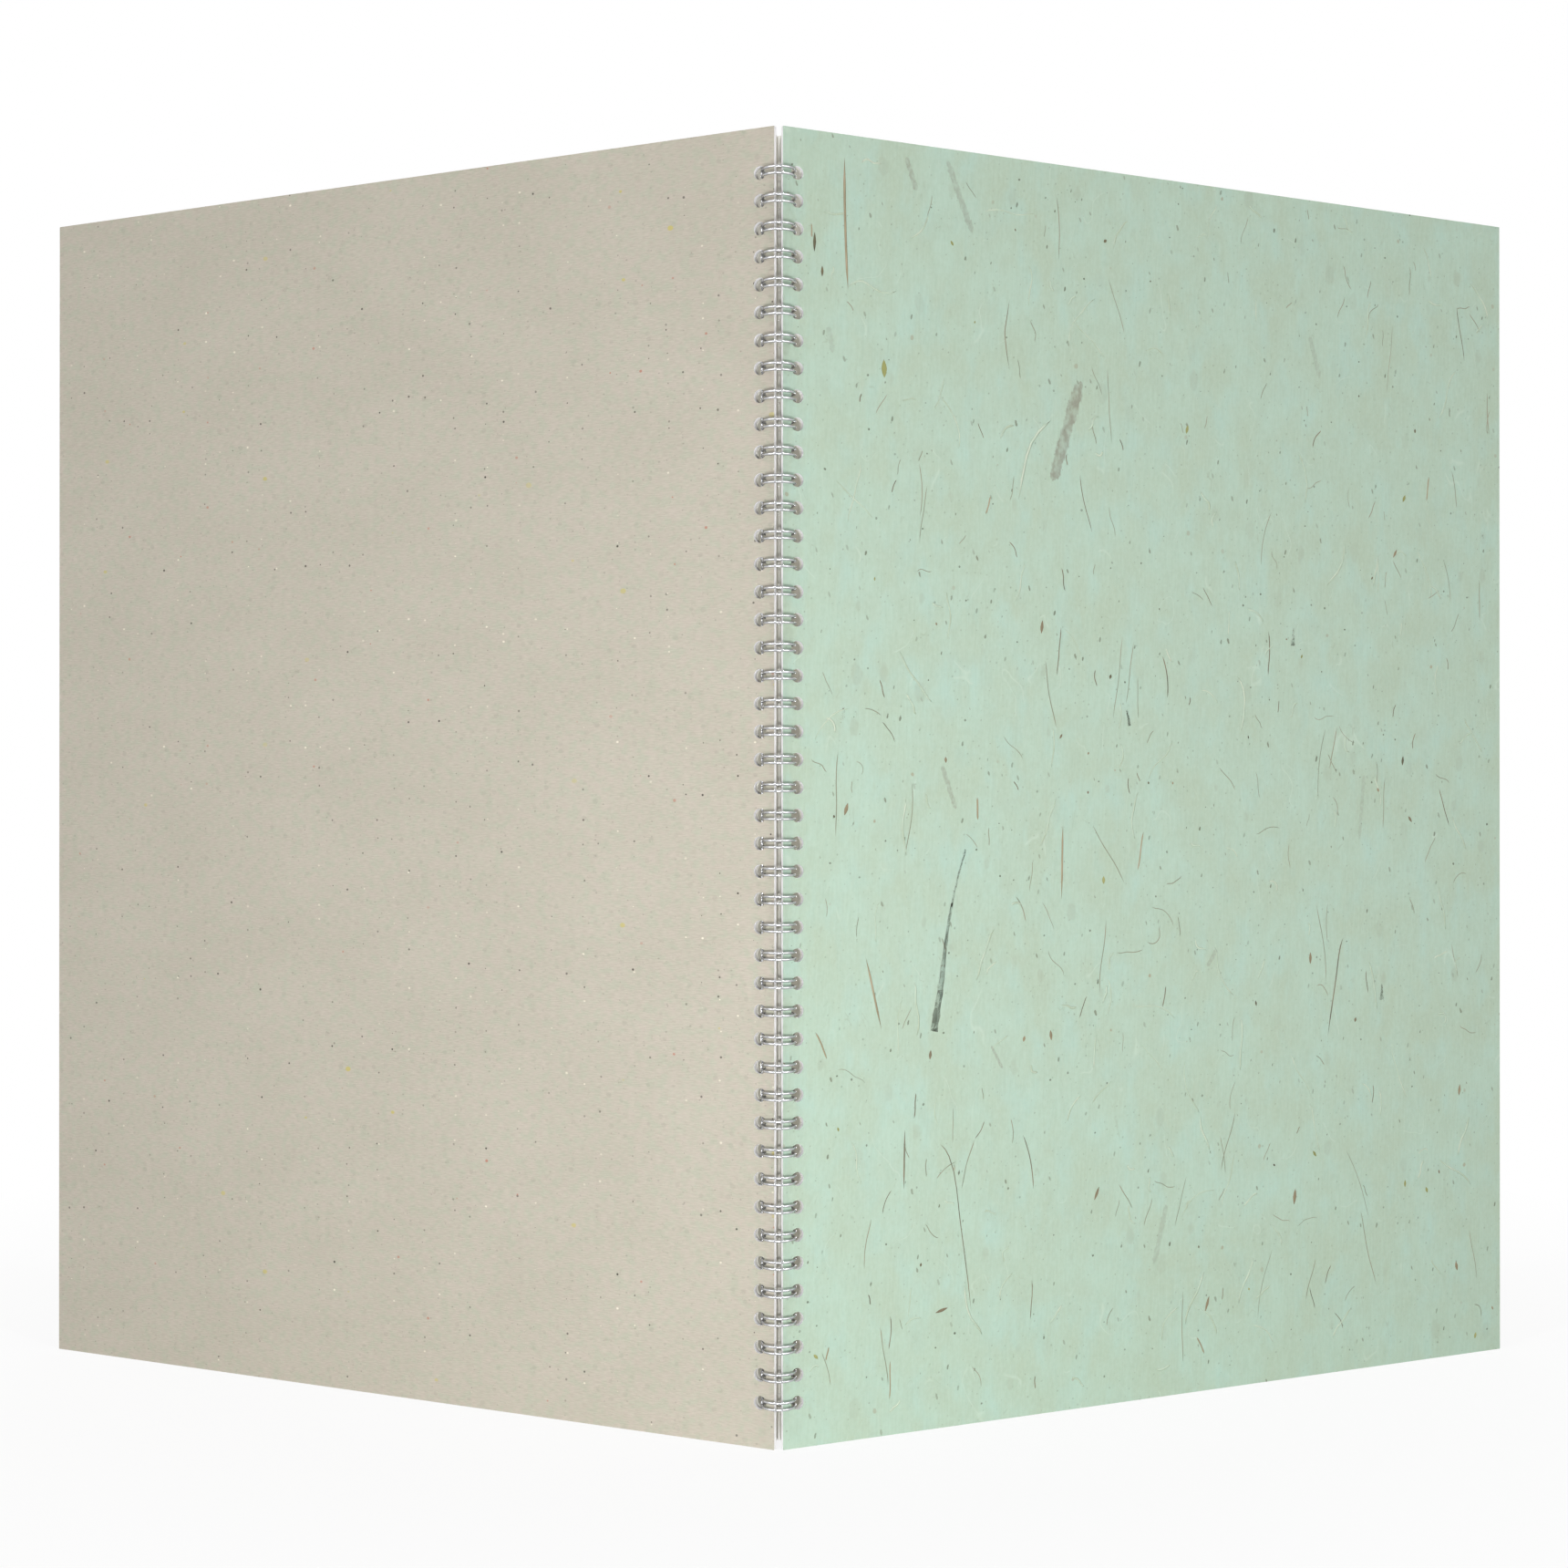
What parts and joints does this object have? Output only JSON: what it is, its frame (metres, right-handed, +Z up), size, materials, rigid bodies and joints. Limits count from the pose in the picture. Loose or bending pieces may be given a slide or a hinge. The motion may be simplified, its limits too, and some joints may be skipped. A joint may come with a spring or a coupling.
{
  "type": "sketchbook",
  "caption": "Large wire-bound sketchbook standing half open, with a greyboard back, a handmade-paper front, drawing leaves and a twin-loop wire through round holes",
  "frame": {"origin": "centre of the standing book's footprint, on the surface it stands on", "axes": "+Z up; the spine faces -Y and the covers open towards +Y; the front cover is at +X and the back cover at -X"},
  "size_m": [0.7706, 0.429, 0.6],
  "materials": {
    "wire": "polished",
    "greyboard": "matte",
    "front_board": "matte",
    "fibre_paper": "matte",
    "drawing_paper": "matte"
  },
  "bodies": {
    "binding_wire": {"binding_wire": "wire"},
    "front_cover": {"front_cover_board": "front_board", "front_cover_paper": "fibre_paper"},
    "back_cover": {"back_cover_board": "greyboard"},
    "leaf_01": {"leaf_01": "drawing_paper"},
    "leaf_02": {"leaf_02": "drawing_paper"},
    "leaf_03": {"leaf_03": "drawing_paper"},
    "leaf_04": {"leaf_04": "drawing_paper"},
    "leaf_05": {"leaf_05": "drawing_paper"},
    "leaf_06": {"leaf_06": "drawing_paper"},
    "leaf_07": {"leaf_07": "drawing_paper"},
    "leaf_08": {"leaf_08": "drawing_paper"},
    "leaf_09": {"leaf_09": "drawing_paper"},
    "leaf_10": {"leaf_10": "drawing_paper"},
    "leaf_11": {"leaf_11": "drawing_paper"},
    "leaf_12": {"leaf_12": "drawing_paper"},
    "leaf_13": {"leaf_13": "drawing_paper"},
    "leaf_14": {"leaf_14": "drawing_paper"},
    "leaf_15": {"leaf_15": "drawing_paper"},
    "leaf_16": {"leaf_16": "drawing_paper"},
    "leaf_17": {"leaf_17": "drawing_paper"},
    "leaf_18": {"leaf_18": "drawing_paper"},
    "leaf_19": {"leaf_19": "drawing_paper"},
    "leaf_20": {"leaf_20": "drawing_paper"}
  },
  "joints": [
    {"name": "front_cover_hinge", "type": "hinge", "parent": "binding_wire", "child": "front_cover", "pos_m": [0, -0.20642, 0], "axis": [0, 0, -1], "range_deg": [-130, 25]},
    {"name": "back_cover_hinge", "type": "hinge", "parent": "binding_wire", "child": "back_cover", "pos_m": [0, -0.20642, 0], "axis": [0, 0, 1], "range_deg": [0, 25]},
    {"name": "leaf_01_hinge", "type": "hinge", "parent": "front_cover", "child": "leaf_01", "pos_m": [0, -0.20642, 0], "axis": [0, 0, 1], "range_deg": [0, 6]},
    {"name": "leaf_02_hinge", "type": "hinge", "parent": "leaf_01", "child": "leaf_02", "pos_m": [0, -0.20642, 0], "axis": [0, 0, 1], "range_deg": [0, 6]},
    {"name": "leaf_03_hinge", "type": "hinge", "parent": "leaf_02", "child": "leaf_03", "pos_m": [0, -0.20642, 0], "axis": [0, 0, 1], "range_deg": [0, 6]},
    {"name": "leaf_04_hinge", "type": "hinge", "parent": "leaf_03", "child": "leaf_04", "pos_m": [0, -0.20642, 0], "axis": [0, 0, 1], "range_deg": [0, 6]},
    {"name": "leaf_05_hinge", "type": "hinge", "parent": "leaf_04", "child": "leaf_05", "pos_m": [0, -0.20642, 0], "axis": [0, 0, 1], "range_deg": [0, 6]},
    {"name": "leaf_06_hinge", "type": "hinge", "parent": "leaf_05", "child": "leaf_06", "pos_m": [0, -0.20642, 0], "axis": [0, 0, 1], "range_deg": [0, 6]},
    {"name": "leaf_07_hinge", "type": "hinge", "parent": "leaf_06", "child": "leaf_07", "pos_m": [0, -0.20642, 0], "axis": [0, 0, 1], "range_deg": [0, 6]},
    {"name": "leaf_08_hinge", "type": "hinge", "parent": "leaf_07", "child": "leaf_08", "pos_m": [0, -0.20642, 0], "axis": [0, 0, 1], "range_deg": [0, 6]},
    {"name": "leaf_09_hinge", "type": "hinge", "parent": "leaf_08", "child": "leaf_09", "pos_m": [0, -0.20642, 0], "axis": [0, 0, 1], "range_deg": [0, 6]},
    {"name": "leaf_10_hinge", "type": "hinge", "parent": "leaf_09", "child": "leaf_10", "pos_m": [0, -0.20642, 0], "axis": [0, 0, 1], "range_deg": [0, 6]},
    {"name": "leaf_11_hinge", "type": "hinge", "parent": "binding_wire", "child": "leaf_11", "pos_m": [0, -0.20642, 0], "axis": [0, 0, -1], "range_deg": [-78, 15]},
    {"name": "leaf_12_hinge", "type": "hinge", "parent": "binding_wire", "child": "leaf_12", "pos_m": [0, -0.20642, 0], "axis": [0, 0, -1], "range_deg": [-71, 13.65]},
    {"name": "leaf_13_hinge", "type": "hinge", "parent": "binding_wire", "child": "leaf_13", "pos_m": [0, -0.20642, 0], "axis": [0, 0, -1], "range_deg": [-65.2, 12.54]},
    {"name": "leaf_14_hinge", "type": "hinge", "parent": "binding_wire", "child": "leaf_14", "pos_m": [0, -0.20642, 0], "axis": [0, 0, -1], "range_deg": [-64.8, 12.46]},
    {"name": "leaf_15_hinge", "type": "hinge", "parent": "binding_wire", "child": "leaf_15", "pos_m": [0, -0.20642, 0], "axis": [0, 0, -1], "range_deg": [-64.5, 12.4]},
    {"name": "leaf_16_hinge", "type": "hinge", "parent": "binding_wire", "child": "leaf_16", "pos_m": [0, -0.20642, 0], "axis": [0, 0, -1], "range_deg": [-53, 10.19]},
    {"name": "leaf_20_hinge", "type": "hinge", "parent": "binding_wire", "child": "leaf_20", "pos_m": [0, -0.20642, 0], "axis": [0, 0, -1], "range_deg": [0, 6]},
    {"name": "leaf_19_hinge", "type": "hinge", "parent": "leaf_20", "child": "leaf_19", "pos_m": [0, -0.20642, 0], "axis": [0, 0, -1], "range_deg": [0, 6]},
    {"name": "leaf_18_hinge", "type": "hinge", "parent": "leaf_19", "child": "leaf_18", "pos_m": [0, -0.20642, 0], "axis": [0, 0, -1], "range_deg": [0, 6]},
    {"name": "leaf_17_hinge", "type": "hinge", "parent": "leaf_18", "child": "leaf_17", "pos_m": [0, -0.20642, 0], "axis": [0, 0, -1], "range_deg": [0, 6]}
  ],
  "couplings": [
    {"joint": "leaf_11_hinge", "follows": "front_cover_hinge", "ratio": 0.6},
    {"joint": "leaf_12_hinge", "follows": "front_cover_hinge", "ratio": 0.54615},
    {"joint": "leaf_13_hinge", "follows": "front_cover_hinge", "ratio": 0.50154},
    {"joint": "leaf_14_hinge", "follows": "front_cover_hinge", "ratio": 0.49846},
    {"joint": "leaf_15_hinge", "follows": "front_cover_hinge", "ratio": 0.49615},
    {"joint": "leaf_16_hinge", "follows": "front_cover_hinge", "ratio": 0.40769}
  ]
}
